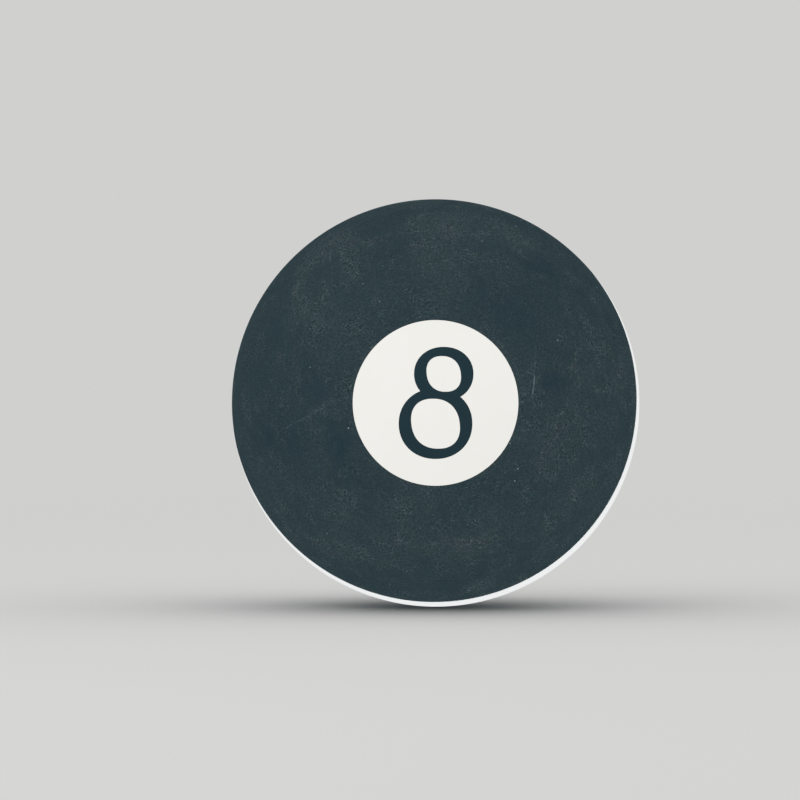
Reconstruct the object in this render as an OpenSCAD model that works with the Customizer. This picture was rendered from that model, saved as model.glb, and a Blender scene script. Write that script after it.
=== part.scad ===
// Numbered pool ball: a resin ball with a numbered disc let into two opposite sides.
// Millimetres. The origin is the ball's centre, +Z is up and the front number faces -Y.
// The castings are ground together, so every outer face lies on the one sphere.

/* [Ball] */
// Diameter of the finished ball
ball_d = 57.15; // [50:0.05:70]

/* [Number disc] */
// Diameter of the white disc
disc_d = 22.2; // [19:0.1:28]
// Depth of the disc, from the top of its dome to its flat back
disc_depth = 6; // [4.5:0.1:10]
// Bevel round the disc's back edge, which lets the resin of the ball flow past it
back_bevel = 0.6; // [0.2:0.05:1.2]
// Bond line between one casting and the next
bond_line = 0.05; // [0.02:0.01:0.12]

/* [Numeral] */
// Width of the upper bowl of the 8, outside
upper_w = 7.9; // [6.5:0.1:9]
// Height of the upper bowl, outside
upper_h = 7.2; // [6:0.1:8]
// Width of the lower bowl of the 8, outside
lower_w = 9.8; // [8:0.1:11]
// Height of the lower bowl, outside
lower_h = 9.4; // [8:0.1:10]
// Thickness of the stroke at the sides of both bowls
side_stroke = 1.65; // [1:0.05:2.1]
// Thickness of the stroke at the top of the 8
top_stroke = 1.2; // [0.9:0.05:1.6]
// Thickness of the stroke at the foot of the 8
foot_stroke = 1.35; // [0.9:0.05:1.7]
// Thickness of the bar where the two bowls cross
waist_bar = 0.9; // [0.6:0.05:1.4]
// How far the upper bowl stands to the right of the lower one
upper_step = 1.1; // [0:0.1:1.8]
// Backward lean of the eyes inside the bowls, in degrees
eye_lean = 6; // [0:0.5:10]
// Squareness of the outline of the bowls, where 2 is an ellipse
bowl_square = 2.1; // [2:0.05:2.6]
// Squareness of the outline of the eyes
eye_square = 2.3; // [2:0.05:3]

/* [Hidden] */

resin_dark = "#313f44";
resin_numeral = "#223138";
resin_white = "#efeeea";

$fn = 96;
outline_points = 72;    // points round each bowl and each eye
overrun = 1;            // how far a rod or a cut runs past the face it has to clear

FRONT = 0;              // turn about +Z that faces a disc to -Y
REAR = 180;             // and to +Y

ball_r = ball_d / 2;
disc_back = ball_r - disc_depth;    // from the ball's centre to the flat back of a disc

// The bowls overlap until the bar between their eyes is waist_bar thick.
numeral_h = upper_h + lower_h - (top_stroke + foot_stroke - waist_bar);
upper_at = [upper_step, (numeral_h - upper_h) / 2];
lower_at = [0, (lower_h - numeral_h) / 2];
upper_eye_size = [upper_w - 2 * side_stroke, upper_h - 2 * top_stroke];
lower_eye_size = [lower_w - 2 * side_stroke, lower_h - 2 * foot_stroke];

// One coordinate of a superellipse: a cosine or sine keeps its sign and is raised to
// 2 / n, so that n = 2 gives an ellipse and a larger n gives squarer shoulders.
function squared_off(value, n) = sign(value) * pow(abs(value), 2 / n);

// The points of an oval of the given [width, height], grown by a margin all round and
// then leaned back about its own centre.
function oval(size, n, margin = 0, lean = 0) = [
    for (i = [0 : outline_points - 1])
        let (
            t = 360 * i / outline_points,
            x = (size.x / 2 + margin) * squared_off(cos(t), n),
            y = (size.y / 2 + margin) * squared_off(sin(t), n)
        )
        [x - y * tan(lean), y]
];

// Both bowls as solid ovals, without their eyes.
module bowls(margin = 0) {
    translate(upper_at) polygon(oval([upper_w, upper_h], bowl_square, margin));
    translate(lower_at) polygon(oval([lower_w, lower_h], bowl_square, margin));
}

module upper_eye_outline(margin = 0) {
    translate(upper_at) polygon(oval(upper_eye_size, eye_square, margin, eye_lean));
}

module lower_eye_outline(margin = 0) {
    translate(lower_at) polygon(oval(lower_eye_size, eye_square, margin, eye_lean));
}

// Draws along the axis of a disc: there +Z points out of the ball and +Y points up.
module on_side(turn) {
    rotate([90, 0, turn]) children();
}

// Trims a casting to the sphere that the whole ball is ground to.
module ground_flush() {
    intersection() {
        sphere(d = ball_d);
        children();
    }
}

// A round plug from the disc's back to past the surface of the ball, with a bevelled
// back edge. A margin grows it square to each of its faces, to cut the seat it sits in.
module plug(margin = 0) {
    r = disc_d / 2 + margin;
    back = disc_back - margin;
    bevel = back_bevel + margin * (2 - sqrt(2));
    rotate_extrude()
        polygon([
            [0, back],
            [r - bevel, back],
            [r, back + bevel],
            [r, ball_r + overrun],
            [0, ball_r + overrun]
        ]);
}

// A straight rod of the child outline, from the disc's back, or from some way behind
// it, to past the surface of the ball.
module rod(behind = 0) {
    translate([0, 0, disc_back - behind])
        linear_extrude(disc_depth + overrun + behind)
            children();
}

// The sphere is turned so that its poles fall inside the two seats that are cut away.
module ball_body() {
    color(resin_dark)
        difference() {
            on_side(FRONT) sphere(d = ball_d);
            on_side(FRONT) plug(bond_line);
            on_side(REAR) plug(bond_line);
        }
}

module number_disc(turn) {
    color(resin_white)
        ground_flush()
            on_side(turn)
                difference() {
                    plug();
                    rod(overrun) bowls(bond_line);
                }
}

module numeral(turn) {
    color(resin_numeral)
        ground_flush()
            on_side(turn)
                difference() {
                    rod() bowls();
                    rod(overrun) upper_eye_outline();
                    rod(overrun) lower_eye_outline();
                }
}

module upper_eye(turn) {
    color(resin_white)
        ground_flush()
            on_side(turn)
                rod() upper_eye_outline(-bond_line);
}

module lower_eye(turn) {
    color(resin_white)
        ground_flush()
            on_side(turn)
                rod() lower_eye_outline(-bond_line);
}

ball_body();
number_disc(FRONT);  // front_number_disc
numeral(FRONT);  // front_numeral
upper_eye(FRONT);  // front_upper_eye
lower_eye(FRONT);  // front_lower_eye
number_disc(REAR);  // rear_number_disc
numeral(REAR);  // rear_numeral
upper_eye(REAR);  // rear_upper_eye
lower_eye(REAR);  // rear_lower_eye
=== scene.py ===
# A numbered pool ball: nine resin castings that are set into one another and then ground
# and polished together, so that every outer face lies on one sphere. The numbered discs
# face -Y and +Y. Lengths are in metres.
import math

import bmesh
import bpy
import numpy as np
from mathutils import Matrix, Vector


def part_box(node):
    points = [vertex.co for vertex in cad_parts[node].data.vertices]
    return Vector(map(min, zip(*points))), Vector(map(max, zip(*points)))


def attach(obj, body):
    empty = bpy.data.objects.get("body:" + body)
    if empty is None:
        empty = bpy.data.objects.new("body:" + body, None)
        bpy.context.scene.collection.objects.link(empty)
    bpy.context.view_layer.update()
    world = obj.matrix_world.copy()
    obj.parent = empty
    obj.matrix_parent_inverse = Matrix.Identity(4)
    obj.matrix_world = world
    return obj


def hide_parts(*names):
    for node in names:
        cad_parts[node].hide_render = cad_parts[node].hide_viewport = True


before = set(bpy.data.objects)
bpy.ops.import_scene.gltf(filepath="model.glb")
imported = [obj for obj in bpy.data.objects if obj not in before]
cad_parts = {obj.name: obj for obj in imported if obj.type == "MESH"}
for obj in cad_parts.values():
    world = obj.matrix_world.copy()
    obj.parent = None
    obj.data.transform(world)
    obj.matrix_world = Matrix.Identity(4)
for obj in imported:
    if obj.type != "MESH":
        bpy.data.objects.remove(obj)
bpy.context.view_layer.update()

MM = 0.001
TURN = 2 * math.pi

# ------------------------------------------------------------------ sizes from the frame

ball_low, ball_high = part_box("ball_body")
disc_low, disc_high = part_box("front_number_disc")
numeral_low, numeral_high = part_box("front_numeral")
upper_low, upper_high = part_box("front_upper_eye")
lower_low, lower_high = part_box("front_lower_eye")

BALL_R = (ball_high.x - ball_low.x) / 2
DISC_R = max(disc_high.x, -disc_low.x)
DISC_BACK = -disc_high.y                 # from the ball's centre to the back of a casting
UPPER_AT = np.array([(upper_low.x + upper_high.x) / 2, (upper_low.z + upper_high.z) / 2])
LOWER_AT = np.array([(lower_low.x + lower_high.x) / 2, (lower_low.z + lower_high.z) / 2])

# The numeral's strokes, as the castings are made.
SIDE_STROKE = 1.65 * MM
TOP_STROKE = 1.2 * MM
FOOT_STROKE = 1.35 * MM
EYE_LEAN = math.radians(6)               # the eyes lean back inside the bowls
BOWL_SQUARE = 2.1                        # 2 is an ellipse, and more is squarer
EYE_SQUARE = 2.3
BACK_BEVEL = 0.6 * MM
JOINT_LINE = 0.02 * MM                   # what shows of the bond between two castings


# ------------------------------------------------------------------ outlines of the numeral

class Oval:
    """A superellipse: |x / half width|^n + |y / half height|^n = 1 about its centre, with
    each point then moved sideways by -y tan(lean)."""

    def __init__(self, centre, half_size, squareness, lean=0.0):
        self.centre = np.asarray(centre, float)
        self.half_size = np.asarray(half_size, float)
        self.squareness = squareness
        self.lean = lean

    def grown(self, margin):
        return Oval(self.centre, self.half_size + margin, self.squareness, self.lean)

    def level(self, points):
        """The left side of the oval's equation: under 1 inside, 1 on the line."""
        x, y = np.moveaxis(points - self.centre, -1, 0)
        upright = x + y * math.tan(self.lean)
        n = self.squareness
        return np.abs(upright / self.half_size[0]) ** n + np.abs(y / self.half_size[1]) ** n


def reach(oval, start, angles):
    """How far it is from start, inside the oval, to its line at each angle: the interval
    that holds the answer is halved until it is as narrow as a float can tell."""
    halvings = 50
    ways = np.stack([np.cos(angles), np.sin(angles)], -1)
    near = np.zeros(len(angles))
    far = np.full(len(angles), 4 * oval.half_size.max())
    for _ in range(halvings):
        middle = (near + far) / 2
        inside = oval.level(start + middle[:, None] * ways) < 1
        near = np.where(inside, middle, near)
        far = np.where(inside, far, middle)
    return near


def along(start, distances, angles):
    """Points at those distances and angles from start."""
    return start + distances[:, None] * np.stack([np.cos(angles), np.sin(angles)], -1)


def angles_to(start, points):
    """The angle from start to each point."""
    x, y = np.moveaxis(points - start, -1, 0)
    return np.arctan2(y, x)


upper_half = np.array([numeral_high.x - UPPER_AT[0], numeral_high.z - UPPER_AT[1]])
lower_half = np.array([LOWER_AT[0] - numeral_low.x, LOWER_AT[1] - numeral_low.z])
upper_bowl = Oval(UPPER_AT, upper_half, BOWL_SQUARE)
lower_bowl = Oval(LOWER_AT, lower_half, BOWL_SQUARE)
upper_eye = Oval(UPPER_AT, upper_half - [SIDE_STROKE, TOP_STROKE], EYE_SQUARE, EYE_LEAN)
lower_eye = Oval(LOWER_AT, lower_half - [SIDE_STROKE, FOOT_STROKE], EYE_SQUARE, EYE_LEAN)


def waist_corners(margin=0.0):
    """The two points, left and right, where the bowls' lines cross: along the upper bowl
    the lower bowl's level passes 1 there, and the crossing is found between two steps."""
    steps = 4000
    angles = np.linspace(-math.pi, 0, steps + 1)
    bowl = upper_bowl.grown(margin)
    line = along(UPPER_AT, reach(bowl, UPPER_AT, angles), angles)
    over = lower_bowl.grown(margin).level(line) - 1
    at = np.flatnonzero(np.sign(over[:-1]) != np.sign(over[1:]))
    share = (over[at] / (over[at] - over[at + 1]))[:, None]
    found = line[at] * (1 - share) + line[at + 1] * share
    return found[np.argsort(found[:, 0])]


# ------------------------------------------------------------------ closed surfaces

def quads(rows, columns, round_rows, round_columns):
    """Corner numbers of a grid's faces, as an array of rows x columns x 4. Round rows or
    columns close on themselves."""
    row = np.arange(rows if round_rows else rows - 1)[:, None]
    column = np.arange(columns if round_columns else columns - 1)[None, :]
    next_row = (row + 1) % rows
    next_column = (column + 1) % columns
    corners = [
        row * columns + column,
        row * columns + next_column,
        next_row * columns + next_column,
        next_row * columns + column,
    ]
    return np.stack(np.broadcast_arrays(*corners), -1)


def sheet_from(name, points, faces, material):
    """A mesh object from arrays of points and faces."""
    mesh = bpy.data.meshes.new(name)
    mesh.from_pydata(points.reshape(-1, 3).tolist(), [], faces.reshape(-1, 4).tolist())
    mesh.materials.append(material)
    made = bpy.data.objects.new(name, mesh)
    bpy.context.scene.collection.objects.link(made)
    return made


def casting_from(name, points, faces, material):
    """A closed mesh object: doubles are merged, so that poles and shared edges close,
    faces are turned outwards, and edges over 30 degrees stay sharp."""
    made = sheet_from(name, points, faces, material)
    work = bmesh.new()
    work.from_mesh(made.data)
    bmesh.ops.remove_doubles(work, verts=work.verts, dist=0.0001 * MM)
    bmesh.ops.recalc_face_normals(work, faces=work.faces)
    work.to_mesh(made.data)
    work.free()
    made.data.polygons.foreach_set("use_smooth", [True] * len(made.data.polygons))
    made.data.set_sharp_from_angle(angle=math.radians(30))
    return made


def facing(across, up, out, side):
    """Points given as seen by someone who faces a disc, in the ball's own frame. side is
    -1 for the disc on -Y and 1 for the one on +Y."""
    return np.stack([-side * across, side * out, up], -1)


def dome(flat):
    """Distance out from the ball's centre at which flat points meet the sphere:
    the root of R^2 - across^2 - up^2."""
    return np.sqrt(BALL_R**2 - (flat**2).sum(-1))


def between(start, end, steps):
    """Rows that lead evenly from start to end, without end."""
    share = np.arange(steps)[:, None, None] / steps
    return start * (1 - share) + end * share


def ring_casting(inner, outer, back_outer, side):
    """A ring between two outlines with as many points: a domed face from the inner to
    the outer one, a wall down, a bevel where back_outer is smaller, a flat back and a
    wall up again. Returns points in rows that close on themselves, and the numbers of the
    rows that hold the outer wall."""
    dome_steps, wall_steps, back_steps = 16, 8, 4
    bevel = np.linalg.norm(outer - back_outer, axis=-1).max()
    high = np.concatenate([inner, dome(inner)[:, None]], -1)
    rim = np.concatenate([outer, dome(outer)[:, None]], -1)
    shoulder = np.concatenate([outer, np.full((len(outer), 1), DISC_BACK + bevel)], -1)
    back_rim = np.concatenate([back_outer, np.full((len(outer), 1), DISC_BACK)], -1)
    back_hole = np.concatenate([inner, np.full((len(inner), 1), DISC_BACK)], -1)
    face = between(high, rim, dome_steps)
    face[..., 2] = dome(face[..., :2])
    bevel_steps = 1 if bevel > 0 else 0
    rows = [
        face,
        between(rim, shoulder, wall_steps),
        between(shoulder, back_rim, bevel_steps),
        between(back_rim, back_hole, back_steps),
        between(back_hole, high, wall_steps),
    ]
    across, up, out = np.moveaxis(np.concatenate(rows), -1, 0)
    wall = np.arange(dome_steps, dome_steps + wall_steps + bevel_steps)
    return facing(across, up, out, side), wall


def ball_surface():
    """The ball with its two seats, turned about Y from a profile of (distance from the
    axis, place along it): the flat floor of a seat, its bevel, its wall, then the circle
    R (sin a, -cos a) from one seat's rim to the other's, and the second seat in mirror
    image."""
    columns, sphere_rows = 400, 176
    floor_rows, bevel_rows, wall_rows = 8, 2, 8
    seat_r = DISC_R + JOINT_LINE
    floor = DISC_BACK - JOINT_LINE
    rim = math.asin(seat_r / BALL_R)
    corners = [
        [0, -floor],
        [seat_r - BACK_BEVEL, -floor],
        [seat_r, -floor - BACK_BEVEL],
        [seat_r, -BALL_R * math.cos(rim)],
    ]
    seat = np.concatenate([
        np.linspace(start, end, rows, endpoint=False)
        for start, end, rows in zip(
            corners[:-1], corners[1:], (floor_rows, bevel_rows, wall_rows))
    ])
    swing = np.linspace(rim, math.pi - rim, sphere_rows)
    circle = BALL_R * np.stack([np.sin(swing), -np.cos(swing)], -1)
    profile = np.concatenate([seat, circle, seat[::-1] * [1, -1]])
    turn = np.arange(columns) / columns * TURN
    away, place = profile[:, 0, None], profile[:, 1, None]
    points = np.stack(
        np.broadcast_arrays(away * np.cos(turn), place, away * np.sin(turn)), -1
    )
    return points, quads(len(profile), columns, False, True)


def disc_surface(side):
    """The white disc, with a hole of the numeral's outline: a ring whose columns run
    out from the middle of the waist, where both bowls are in sight."""
    columns = 511
    left, right = waist_corners(JOINT_LINE)
    heart = (left + right) / 2
    corner_angles = angles_to(heart, np.stack([left, right]))
    round_angles = np.linspace(-math.pi, math.pi, columns + 1)[:-1]
    angles = np.sort(np.concatenate([round_angles, corner_angles]))
    hole = np.maximum(
        reach(upper_bowl.grown(JOINT_LINE), heart, angles),
        reach(lower_bowl.grown(JOINT_LINE), heart, angles),
    )
    edge = reach(Oval([0, 0], [DISC_R, DISC_R], 2), heart, angles)
    outer = along(heart, edge, angles)
    back_outer = outer * (1 - BACK_BEVEL / DISC_R)
    points, _ = ring_casting(along(heart, hole, angles), outer, back_outer, side)
    return points, quads(len(points), len(angles), True, True)


def bowl_surface(bowl, eye, start, end, side):
    """One bowl of the 8, as a ring round its eye. Its outer outline is the bowl's line
    from start anticlockwise to end, then the straight waist back to start, where it
    joins the other bowl and has no wall."""
    arc_steps, waist_steps = 300, 64
    first, last = angles_to(bowl.centre, np.stack([start, end]))
    if last < first:
        last += TURN
    arc_angles = np.linspace(first, last, arc_steps, endpoint=False)
    arc = along(bowl.centre, reach(bowl, bowl.centre, arc_angles), arc_angles)
    share = np.arange(waist_steps)[:, None] / waist_steps
    outer = np.concatenate([arc, end * (1 - share) + start * share])
    angles = angles_to(bowl.centre, outer)
    inner = along(bowl.centre, reach(eye, bowl.centre, angles), angles)
    points, wall = ring_casting(inner, outer, outer, side)
    faces = quads(len(points), len(outer), True, True)
    open_waist = np.ones(faces.shape[:2], bool)
    open_waist[wall[:, None], np.arange(arc_steps, len(outer))[None, :]] = False
    return points.reshape(-1, 3), faces[open_waist]


def numeral_surface(side):
    """The 8: its upper and lower bowl, which share the points of the waist."""
    left, right = waist_corners()
    upper_points, upper_faces = bowl_surface(upper_bowl, upper_eye, right, left, side)
    lower_points, lower_faces = bowl_surface(lower_bowl, lower_eye, left, right, side)
    points = np.concatenate([upper_points, lower_points])
    return points, np.concatenate([upper_faces, lower_faces + len(upper_points)])


def eye_surface(eye, side):
    """A plug of an eye's outline: rings that shrink to a pole on its domed face and on
    its flat back, with a straight wall between them."""
    columns, face_steps, wall_steps, back_steps = 240, 20, 8, 4
    plug = eye.grown(-JOINT_LINE)
    angles = np.arange(columns) / columns * TURN
    edge = along(plug.centre, reach(plug, plug.centre, angles), angles)
    shares = np.concatenate([
        np.linspace(0, 1, face_steps, endpoint=False),
        np.ones(wall_steps),
        np.linspace(1, 0, back_steps),
    ])
    flat = plug.centre + (edge - plug.centre) * shares[:, None, None]
    top = dome(flat)
    drop = np.clip((np.arange(len(shares)) - face_steps) / wall_steps, 0, 1)[:, None]
    across, up = np.moveaxis(flat, -1, 0)
    points = facing(across, up, top * (1 - drop) + DISC_BACK * drop, side)
    return points, quads(len(shares), columns, False, True)


# ------------------------------------------------------------------ materials

POLISH_INDEX = 1.5                       # index of refraction of the polished skin
FULL_POLISH = 1.0                        # a clean casting mirrors as much as it can
BODY_POLISH = 0.6                        # share of the polish that dust and wear leave

# The skin of every casting, as inputs of its shader: the clear polish does all the
# mirroring, and the resin under it does none.
POLISHED_SKIN = {
    "IOR": 1.5,
    "Specular IOR Level": 0.0,
    "Coat Roughness": 0.05,
    "Coat IOR": POLISH_INDEX,
}


def linear(hex_colour):
    """An sRGB colour as linear light: each channel c, from 0 to 1, becomes c / 12.92 up
    to 0.04045, and ((c + 0.055) / 1.055) to the power 2.4 above it."""
    channels = [int(hex_colour[i : i + 2], 16) / 255 for i in (1, 3, 5)]
    light = [c / 12.92 if c <= 0.04045 else ((c + 0.055) / 1.055) ** 2.4 for c in channels]
    return (*light, 1)


def add(tree, kind, inputs, out=0, **settings):
    """Adds a node to the tree and returns one of its outputs, if it has any. inputs gives
    each socket, by name or number, a value or the output that feeds it."""
    made = tree.nodes.new(kind)
    for name, value in settings.items():
        setattr(made, name, value)
    for socket, value in inputs.items():
        if isinstance(value, bpy.types.NodeSocket):
            tree.links.new(value, made.inputs[socket])
        else:
            made.inputs[socket].default_value = value
    return made.outputs[out] if made.outputs else None


def new_material(name):
    """An empty node material and its tree."""
    material = bpy.data.materials.new(name)
    material.use_nodes = True
    material.node_tree.nodes.clear()
    return material, material.node_tree


def in_millimetres(tree):
    """Object coordinates in millimetres, so that a pattern's scale is one over its size
    in millimetres."""
    place = add(tree, "ShaderNodeTexCoord", {}, out=3)
    return add(tree, "ShaderNodeVectorMath", {0: place, "Scale": 1 / MM}, operation="SCALE")


def on_front(across, up):
    """The point of the ball, in millimetres, that lies across and up from the middle of
    the disc on -Y, for someone who faces it."""
    radius = BALL_R / MM
    return (across, -math.sqrt(radius**2 - across**2 - up**2), up)


def on_rear(across, up):
    """The same for the disc on +Y."""
    x, y, z = on_front(across, up)
    return (-x, -y, z)


# Where dust lies thicker or thinner: a place on the ball, how far it spreads in
# millimetres, and by how much it changes the share of the surface that is covered.
DUST_PATCHES = [
    (on_front(-1, 19), 6, 0.014),
    (on_front(1, 24), 8, 0.018),
    (on_front(-3, 28), 6, 0.016),
    (on_front(5, 28), 6, 0.012),
    (on_front(11, 23), 5, 0.018),
    (on_front(-14, 22), 6, 0.012),
    (on_front(-19, 18), 4, 0.014),
    (on_front(-16, 13), 6, 0.006),
    (on_front(-14, 7), 4, 0.008),
    (on_front(16, -7), 6, 0.012),
    (on_front(4, -19), 6, 0.018),
    (on_front(-6, -20), 6, 0.012),
    (on_front(6, -25), 4, 0.014),
    (on_front(18, -12), 4, 0.012),
    (on_front(9, 14), 9, -0.011),
    (on_front(15, 18), 6, -0.020),
    (on_front(-22, -5), 9, -0.014),
    (on_front(-12, -6), 6, -0.017),
    (on_front(-16, 3), 4, -0.010),
    (on_front(16, 3), 4, -0.016),
    (on_front(2, -15), 4, -0.008),
    (on_rear(12, 17), 8, 0.014),
    (on_rear(-16, -10), 9, 0.010),
    (on_rear(-10, 19), 8, -0.012),
]

# Scratches: where one starts, where it ends, how far it bows in millimetres, its width
# in millimetres and how much it whitens the resin.
SCRATCHES = [
    (on_front(13.3, 8.2), on_front(12.8, 0.2), 0.20, 0.10, 0.08),
    (on_front(13.3, 4.4), on_front(12.9, 0.4), 0.10, 0.12, 0.17),
    (on_front(-21.3, -3.9), on_front(-13.8, 0.1), -0.20, 0.30, 0.03),
    (on_front(-14.4, 21.0), on_front(-14.4, 19.0), 0.0, 0.16, 0.10),
    (on_rear(-15, 12), on_rear(-9, 17), 0.4, 0.12, 0.12),
    (on_rear(16, -6), on_rear(19, -14), -0.3, 0.12, 0.14),
]


def scratch(tree, place, start, end, bow, width):
    """1 on the scratch and 0 away from it. The scratch follows the great circle through
    start and end, stands off it by bow in the middle and by nothing at its ends, and
    fades out from half way to each end."""
    start, end = np.array(start), np.array(end)
    across = np.cross(start, end)
    across /= np.linalg.norm(across)
    middle = (start + end) / 2
    half_length = np.linalg.norm(end - start) / 2
    offset = add(tree, "ShaderNodeVectorMath", {0: place, 1: across}, out=1,
                 operation="DOT_PRODUCT")
    from_middle = add(tree, "ShaderNodeVectorMath", {0: place, 1: middle}, out=1,
                      operation="DISTANCE")
    bowed = add(tree, "ShaderNodeMapRange",
                {0: from_middle, 1: 0, 2: half_length, 3: bow, 4: 0})
    aside = add(tree, "ShaderNodeMath", {0: offset, 1: bowed}, operation="SUBTRACT")
    aside = add(tree, "ShaderNodeMath", {0: aside}, operation="ABSOLUTE")
    core = add(tree, "ShaderNodeMapRange", {0: aside, 1: width, 2: 0, 3: 0, 4: 1},
               interpolation_type="SMOOTHSTEP")
    fade = add(tree, "ShaderNodeMapRange",
               {0: from_middle, 1: half_length, 2: half_length * 0.5, 3: 0, 4: 1},
               interpolation_type="SMOOTHSTEP")
    return add(tree, "ShaderNodeMath", {0: core, 1: fade}, operation="MULTIPLY")


def chalk_dulled_resin():
    """Cast phenolic resin, ground and polished, then dulled by play: cue chalk and fine
    wear lie on it as a thin pale dust in clouds, with sparse specks and scratches."""
    material, tree = new_material("chalk_dulled_phenolic_resin")
    place = in_millimetres(tree)

    # Clouds of dust about 9 mm across, stirred, and broken up at every finer size down to
    # 0.2 mm. Nowhere is the resin quite clean.
    stir = add(tree, "ShaderNodeTexNoise",
               {"Vector": place, "Scale": 1 / 6, "Detail": 2, "Roughness": 0.5}, out=1)
    stir = add(tree, "ShaderNodeVectorMath", {0: stir, 1: (0.5, 0.5, 0.5)},
               operation="SUBTRACT")
    stir = add(tree, "ShaderNodeVectorMath", {0: stir, "Scale": 6}, operation="SCALE")
    stirred = add(tree, "ShaderNodeVectorMath", {0: place, 1: stir}, operation="ADD")
    clouds = add(tree, "ShaderNodeTexNoise",
                 {"Vector": stirred, "Scale": 1 / 9, "Detail": 6, "Roughness": 0.75})
    thick = add(tree, "ShaderNodeMapRange", {0: clouds, 1: 0.22, 2: 0.78, 3: 0, 4: 1})
    thick = add(tree, "ShaderNodeMath", {0: thick, 1: 1.7}, operation="POWER")
    dust = add(tree, "ShaderNodeMath", {0: thick, 1: 0.035, 2: 0.0093},
               operation="MULTIPLY_ADD")
    for spot, spread, more in DUST_PATCHES:
        away = add(tree, "ShaderNodeVectorMath", {0: stirred, 1: spot}, out=1,
                   operation="DISTANCE")
        patch = add(tree, "ShaderNodeMapRange", {0: away, 1: 0, 2: spread, 3: more, 4: 0},
                    interpolation_type="SMOOTHSTEP")
        dust = add(tree, "ShaderNodeMath", {0: dust, 1: patch}, operation="ADD")
    dust = add(tree, "ShaderNodeMath", {0: dust, 1: 0.004}, operation="MAXIMUM")

    # The grain of the dust. Chalk is ground finer than 0.05 mm, and it is drawn as
    # grains of 0.2 mm so that it shows: few pale grains on many dull ones, evened out
    # about 0. It grows faster than the dust does, and it is up to 3.5 times as strong in
    # gritty spots of some 3 mm, where there is more dust too.
    grain = add(tree, "ShaderNodeTexNoise",
                {"Vector": place, "Scale": 1 / 0.22, "Detail": 1, "Roughness": 0.5})
    grain = add(tree, "ShaderNodeMapRange", {0: grain, 1: 0.28, 2: 0.78, 3: 0, 4: 1})
    grain = add(tree, "ShaderNodeMath", {0: grain, 1: 1.6}, operation="POWER")
    grain = add(tree, "ShaderNodeMath", {0: grain, 1: 2.88, 2: -0.864},
                operation="MULTIPLY_ADD")
    gritty = add(tree, "ShaderNodeTexNoise",
                 {"Vector": stirred, "Scale": 1 / 3, "Detail": 3, "Roughness": 0.6})
    gritty = add(tree, "ShaderNodeMapRange", {0: gritty, 1: 0.46, 2: 0.76, 3: 0, 4: 2.5},
                 interpolation_type="SMOOTHSTEP")
    gritty = add(tree, "ShaderNodeMath", {0: gritty, 1: dust}, operation="MULTIPLY")
    grit = add(tree, "ShaderNodeMath", {0: dust, 1: gritty}, operation="ADD")
    strength = add(tree, "ShaderNodeMath", {0: dust, 1: 16, 2: 0.65},
                   operation="MULTIPLY_ADD")
    grit = add(tree, "ShaderNodeMath", {0: grit, 1: strength}, operation="MULTIPLY")
    grit = add(tree, "ShaderNodeMath", {0: grit, 1: grain}, operation="MULTIPLY")
    dust = add(tree, "ShaderNodeMath", {0: gritty, 1: 0.25, 2: dust},
               operation="MULTIPLY_ADD")

    # Sparse specks, some 0.2 mm across: one hangs in each cell of 3 mm, and those that the
    # surface cuts show, the brighter the nearer it cuts them to their middle.
    cell_distance = add(tree, "ShaderNodeTexVoronoi", {"Vector": place, "Scale": 1 / 3})
    specks = add(tree, "ShaderNodeMapRange", {0: cell_distance, 1: 0.05, 2: 0.013, 3: 0, 4: 0.50},
                 interpolation_type="SMOOTHSTEP")
    pale = add(tree, "ShaderNodeMath", {0: grit, 1: specks}, operation="ADD")

    # Scratches, fainter along their length where the tip skipped.
    skip = add(tree, "ShaderNodeTexNoise", {"Vector": place, "Scale": 1 / 0.8, "Detail": 2})
    skip = add(tree, "ShaderNodeMapRange", {0: skip, 1: 0.38, 2: 0.55, 3: 0.15, 4: 1})
    marks = None
    for start, end, bow, width, whitening in SCRATCHES:
        mark = scratch(tree, place, start, end, bow, width)
        mark = add(tree, "ShaderNodeMath", {0: mark, 1: skip}, operation="MULTIPLY")
        mark = add(tree, "ShaderNodeMath", {0: mark, 1: whitening}, operation="MULTIPLY")
        marks = mark if marks is None else add(
            tree, "ShaderNodeMath", {0: marks, 1: mark}, operation="ADD")
    pale = add(tree, "ShaderNodeMath", {0: pale, 1: marks}, operation="ADD")

    # The dust is warmer than the resin. It shifts between pinkish and greenish grey in
    # spots of some 3 mm, and thick dust is the pinker. Grains, specks and scratches are
    # a cooler white.
    tint = add(tree, "ShaderNodeTexNoise",
               {"Vector": place, "Scale": 1 / 2.5, "Detail": 3, "Roughness": 0.6})
    tint = add(tree, "ShaderNodeMapRange", {0: tint, 1: 0.35, 2: 0.65, 3: 0.3, 4: 1.2})
    tint = add(tree, "ShaderNodeMath", {0: dust, 1: -10, 2: tint},
               operation="MULTIPLY_ADD", use_clamp=True)
    dust_colour = add(tree, "ShaderNodeMix",
                      {0: tint, 6: linear("#d1cec5"), 7: linear("#c7d8b3")},
                      out=2, data_type="RGBA")
    colour = add(tree, "ShaderNodeMix", {0: dust, 6: linear("#23343c"), 7: dust_colour},
                 out=2, data_type="RGBA")
    colour = add(tree, "ShaderNodeMix", {0: pale, 6: colour, 7: linear("#b0c9d1")},
                 out=2, data_type="RGBA", clamp_factor=False)

    # Dust dulls the resin and its grains stand up a little, and scratches are cut in.
    roughness = add(tree, "ShaderNodeMapRange", {0: dust, 1: 0, 2: 0.12, 3: 0.40, 4: 0.60})
    height = add(tree, "ShaderNodeMath", {0: grain, 1: marks}, operation="SUBTRACT")
    relief = add(tree, "ShaderNodeBump",
                 {"Strength": 0.03, "Distance": 0.02 * MM, "Height": height})
    surface = add(tree, "ShaderNodeBsdfPrincipled", {
        "Base Color": colour, "Roughness": roughness, "Normal": relief,
        "Coat Weight": BODY_POLISH, **POLISHED_SKIN})
    add(tree, "ShaderNodeOutputMaterial", {"Surface": surface})
    return material


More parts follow.
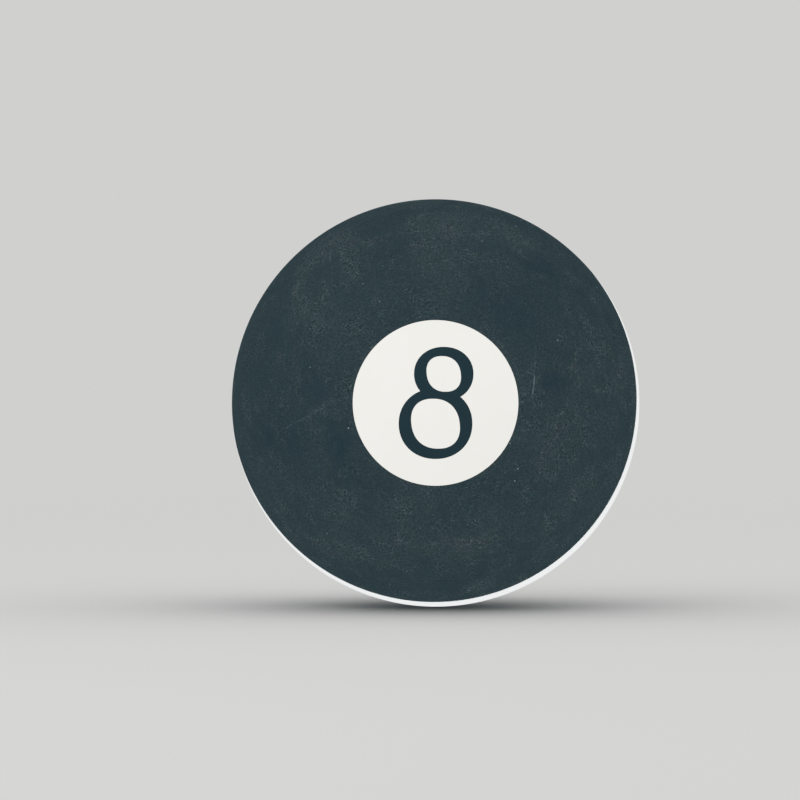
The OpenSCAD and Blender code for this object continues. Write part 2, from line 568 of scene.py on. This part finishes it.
def clean_resin(name, cloud_size, colours, roughnesses):
    """Casting resin that no chalk lies on, ground flush and polished: the faintest
    clouding in the casting, as many millimetres across as given, and fine handling haze
    in the polish."""
    material, tree = new_material(name)
    place = in_millimetres(tree)
    clouds = add(tree, "ShaderNodeTexNoise",
                 {"Vector": place, "Scale": 1 / cloud_size, "Detail": 4, "Roughness": 0.6})
    colour = add(tree, "ShaderNodeMix",
                 {0: clouds, 6: linear(colours[0]), 7: linear(colours[1])},
                 out=2, data_type="RGBA")
    haze = add(tree, "ShaderNodeTexNoise",
               {"Vector": place, "Scale": 1 / 0.7, "Detail": 5, "Roughness": 0.65})
    roughness = add(tree, "ShaderNodeMapRange",
                    {0: haze, 1: 0.3, 2: 0.7, 3: roughnesses[0], 4: roughnesses[1]})
    relief = add(tree, "ShaderNodeBump",
                 {"Strength": 0.02, "Distance": 0.02 * MM, "Height": haze})
    surface = add(tree, "ShaderNodeBsdfPrincipled", {
        "Base Color": colour, "Roughness": roughness, "Normal": relief,
        "Coat Weight": FULL_POLISH, **POLISHED_SKIN})
    add(tree, "ShaderNodeOutputMaterial", {"Surface": surface})
    return material


# ------------------------------------------------------------------ the ball's pieces

def fit(name, surface, material, node):
    """Makes a casting and puts it in the place of its CAD node."""
    made = casting_from(name, *surface, material)
    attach(made, "root")
    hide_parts(node)


body_material = chalk_dulled_resin()

# Off-white casting resin, even and dense.
disc_material = clean_resin(
    "polished_white_casting_resin", 5, ("#ecebe6", "#f1f0ec"), (0.07, 0.14))

# Dark blue-green casting resin, deeper and cleaner than the ball, because the white disc
# round it keeps the chalk off.
numeral_material = clean_resin(
    "polished_dark_casting_resin", 3, ("#203138", "#25373e"), (0.06, 0.12))

fit("ball_casting", ball_surface(), body_material, "ball_body")
for end, side in (("front", -1), ("rear", 1)):
    fit(f"{end}_disc_casting", disc_surface(side), disc_material,
        f"{end}_number_disc")
    fit(f"{end}_numeral_casting", numeral_surface(side), numeral_material,
        f"{end}_numeral")
    fit(f"{end}_upper_eye_casting", eye_surface(upper_eye, side), disc_material,
        f"{end}_upper_eye")
    fit(f"{end}_lower_eye_casting", eye_surface(lower_eye, side), disc_material,
        f"{end}_lower_eye")


# ------------------------------------------------------------------ camera

CAMERA_AWAY = 20 * BALL_R
LENS = 183.1                             # its focal length in millimetres
SENSOR = 36                              # its width in millimetres
AIM = np.array([-0.00499, 0, 0.00041])   # the ball stands a little right of the middle

camera = bpy.data.objects.new("camera", bpy.data.cameras.new("camera"))
bpy.context.scene.collection.objects.link(camera)
camera.data.lens = LENS
camera.data.sensor_width = SENSOR
camera.data.clip_start = 0.01
camera.data.clip_end = 20
camera.location = (0, -CAMERA_AWAY, 0)
sight = AIM - np.array(camera.location)
camera.rotation_euler = (
    math.pi / 2 + math.atan2(sight[2], sight[1]),
    0,
    -math.atan2(sight[0], sight[1]),
)
bpy.context.scene.camera = camera


# ------------------------------------------------------------------ floor and light

SOFT_LIGHT = linear("#ffffff")           # light from all round
BACKDROP = linear("#d0d0cf")             # what the camera sees past the floor
DIM_WALLS = linear("#303f44")            # what the polish mirrors


def pale_floor():
    """A flat round floor under the ball, matt and pale, which fades into the backdrop
    between 8 and 30 ball radii out. It can be seen through from below, throws no light
    back and doesn't show in the polish."""
    near, far, half = 8 * BALL_R, 30 * BALL_R, 32 * BALL_R
    material, tree = new_material("pale_matt_floor")
    place = add(tree, "ShaderNodeTexCoord", {}, out=3)
    away = add(tree, "ShaderNodeVectorMath", {0: place}, out=1, operation="LENGTH")
    fade = add(tree, "ShaderNodeMapRange", {0: away, 1: near, 2: far, 3: 0, 4: 1},
               interpolation_type="SMOOTHSTEP")
    from_below = add(tree, "ShaderNodeNewGeometry", {}, out=6)
    clear = add(tree, "ShaderNodeMath", {0: fade, 1: from_below}, operation="MAXIMUM")
    matt = add(tree, "ShaderNodeBsdfDiffuse", {"Color": linear("#cfcfce")})
    none = add(tree, "ShaderNodeBsdfTransparent", {})
    mixed = add(tree, "ShaderNodeMixShader", {0: clear, 1: matt, 2: none})
    add(tree, "ShaderNodeOutputMaterial", {"Surface": mixed})

    corners = np.array([[-1, -1, 0], [1, -1, 0], [1, 1, 0], [-1, 1, 0]]) * half
    corners[:, 2] = -BALL_R
    floor = sheet_from("floor", corners, np.arange(4), material)
    floor.visible_glossy = False
    floor.visible_diffuse = False
    floor.visible_shadow = False


def mirrored_share(facing_ratio):
    """Fresnel's share of light that a clear polish of index n mirrors, for the cosine c
    of the angle of sight: with g = sqrt(n^2 - 1 + c^2), half of ((g - c) / (g + c))^2
    times 1 + ((c (g + c) - 1) / (c (g - c) + 1))^2."""
    c = facing_ratio
    g = np.sqrt(POLISH_INDEX**2 - 1 + c**2)
    return ((g - c) / (g + c)) ** 2 / 2 * (1 + ((c * (g + c) - 1) / (c * (g - c) + 1)) ** 2)


def mirrored_card(name, points, glow):
    """A lit card that only the ball's polish mirrors: a sheet of rows and columns of
    points that glows towards -Y, by the amount given for each point."""
    material, tree = new_material(name)
    strength = add(tree, "ShaderNodeAttribute", {}, out=2, attribute_name="glow")
    lit = add(tree, "ShaderNodeEmission", {"Strength": strength})
    none = add(tree, "ShaderNodeBsdfTransparent", {})
    back = add(tree, "ShaderNodeNewGeometry", {}, out=6)
    one_side = add(tree, "ShaderNodeMixShader", {0: back, 1: lit, 2: none})
    add(tree, "ShaderNodeOutputMaterial", {"Surface": one_side})
    material.cycles.emission_sampling = "NONE"

    faces = quads(*points.shape[:2], False, False)[..., ::-1]
    card = sheet_from(name, points, faces, material)
    light = card.data.attributes.new("glow", "FLOAT", "POINT")
    light.data.foreach_set("value", glow.ravel())
    card.visible_camera = False
    card.visible_diffuse = False
    card.visible_transmission = False
    card.visible_shadow = False


def rear_soft_box():
    """A curved soft box close behind the ball, which gives the far side its highlight.
    It keeps inside the outline that the ball hides from the camera, radius R (away + y)
    / sqrt(away^2 - R^2), and its light falls off towards its edges as
    (1 - u^4) (1 - v^4)."""
    inner, outer, behind = 0.62, 1.05, 1.15      # in ball radii
    middle, spread = math.radians(60), math.radians(24)
    peak = 14
    steps = 33
    u, v = np.meshgrid(np.linspace(-1, 1, steps), np.linspace(-1, 1, steps))
    radius = (outer + inner) / 2 + (outer - inner) / 2 * v
    turn = middle + spread * u
    points = np.stack(
        [radius * np.cos(turn), np.full_like(u, behind), radius * np.sin(turn)], -1
    )
    mirrored_card("rear_soft_box", points * BALL_R, peak * (1 - u**4) * (1 - v**4))


def rim_card():
    """A curved card beside the far half of the ball, which only its polish mirrors: it
    draws the line of light along the lower right rim. Each row of the card is where lines
    of sight land after the ball turns them at one share of the line's width,
    r = d - 2 (d . n) n for a sight d and a surface direction n, and it glows by as much
    more as the polish mirrors less there, so that the line is evenly white. The line's
    width is a cosine wave round the ball, and the line ends where the wave is 0."""
    line_light = 0.83                            # as white as the discs
    crest, trough = 0.70 * MM, -0.43 * MM        # of the wave
    middle = math.radians(-64)                   # where its crest is, from +X to +Z
    behind = 0.25 * BALL_R                       # the card's place on +Y
    steps_round, steps_across = 161, 13
    spread = math.acos((crest + trough) / (trough - crest))
    round_ball = middle + np.linspace(-spread, spread, steps_round)
    wave = np.cos(round_ball - middle)
    width = (crest + trough) / 2 + (crest - trough) / 2 * wave
    inside_rim = np.linspace(0, 1, steps_across)[:, None] * np.maximum(width, 0)

    rim_sight = math.tan(math.asin(BALL_R / CAMERA_AWAY))
    sight = np.arctan(rim_sight * (1 - inside_rim / BALL_R))
    off_centre = CAMERA_AWAY * np.sin(sight)
    run = CAMERA_AWAY * np.cos(sight) - np.sqrt(np.maximum(BALL_R**2 - off_centre**2, 0))
    way = np.stack([np.sin(sight), np.cos(sight)])
    hit = run * way - np.array([0, CAMERA_AWAY])[:, None, None]
    normal = hit / BALL_R
    facing_ratio = -(way * normal).sum(0)
    turned = way + 2 * facing_ratio * normal
    away = hit[0] + (behind - hit[1]) / turned[1] * turned[0]
    away[0] *= 0.98                              # so that the very rim is lit too
    points = np.stack(np.broadcast_arrays(
        away * np.cos(round_ball), behind, away * np.sin(round_ball)), -1)

    mirrored = BODY_POLISH * mirrored_share(facing_ratio)
    mirrored_card("rim_card", points, line_light / mirrored)


def soft_surroundings():
    """A plain white studio: even soft light on the ball, a pale backdrop for the camera,
    and dim walls in the polish."""
    world = bpy.data.worlds.new("studio")
    bpy.context.scene.world = world
    world.use_nodes = True
    tree = world.node_tree
    tree.nodes.clear()
    by_camera = add(tree, "ShaderNodeLightPath", {}, out=0)
    by_polish = add(tree, "ShaderNodeLightPath", {}, out=3)
    shown = add(tree, "ShaderNodeMix", {0: by_camera, 6: SOFT_LIGHT, 7: BACKDROP},
                out=2, data_type="RGBA")
    shown = add(tree, "ShaderNodeMix", {0: by_polish, 6: shown, 7: DIM_WALLS},
                out=2, data_type="RGBA")
    light = add(tree, "ShaderNodeBackground", {"Color": shown})
    add(tree, "ShaderNodeOutputWorld", {"Surface": light})


def key_light():
    """A large soft box above and to the left of the camera. The polish doesn't mirror
    it, as with a light that stands behind cross-polarised film."""
    lamp = bpy.data.lights.new("key", "AREA")
    lamp.shape = "DISK"
    lamp.size = 9 * BALL_R
    lamp.energy = 0.14                           # watts, for a scene as small as this
    key = bpy.data.objects.new("key", lamp)
    bpy.context.scene.collection.objects.link(key)
    key.location = np.array([-7, -10, 9]) * BALL_R
    key.rotation_euler = (-key.location).to_track_quat("-Z", "Y").to_euler()
    key.visible_glossy = False


pale_floor()
rim_card()
rear_soft_box()
soft_surroundings()
key_light()
bpy.context.scene.view_settings.view_transform = "Standard"

bpy.context.view_layer.update()
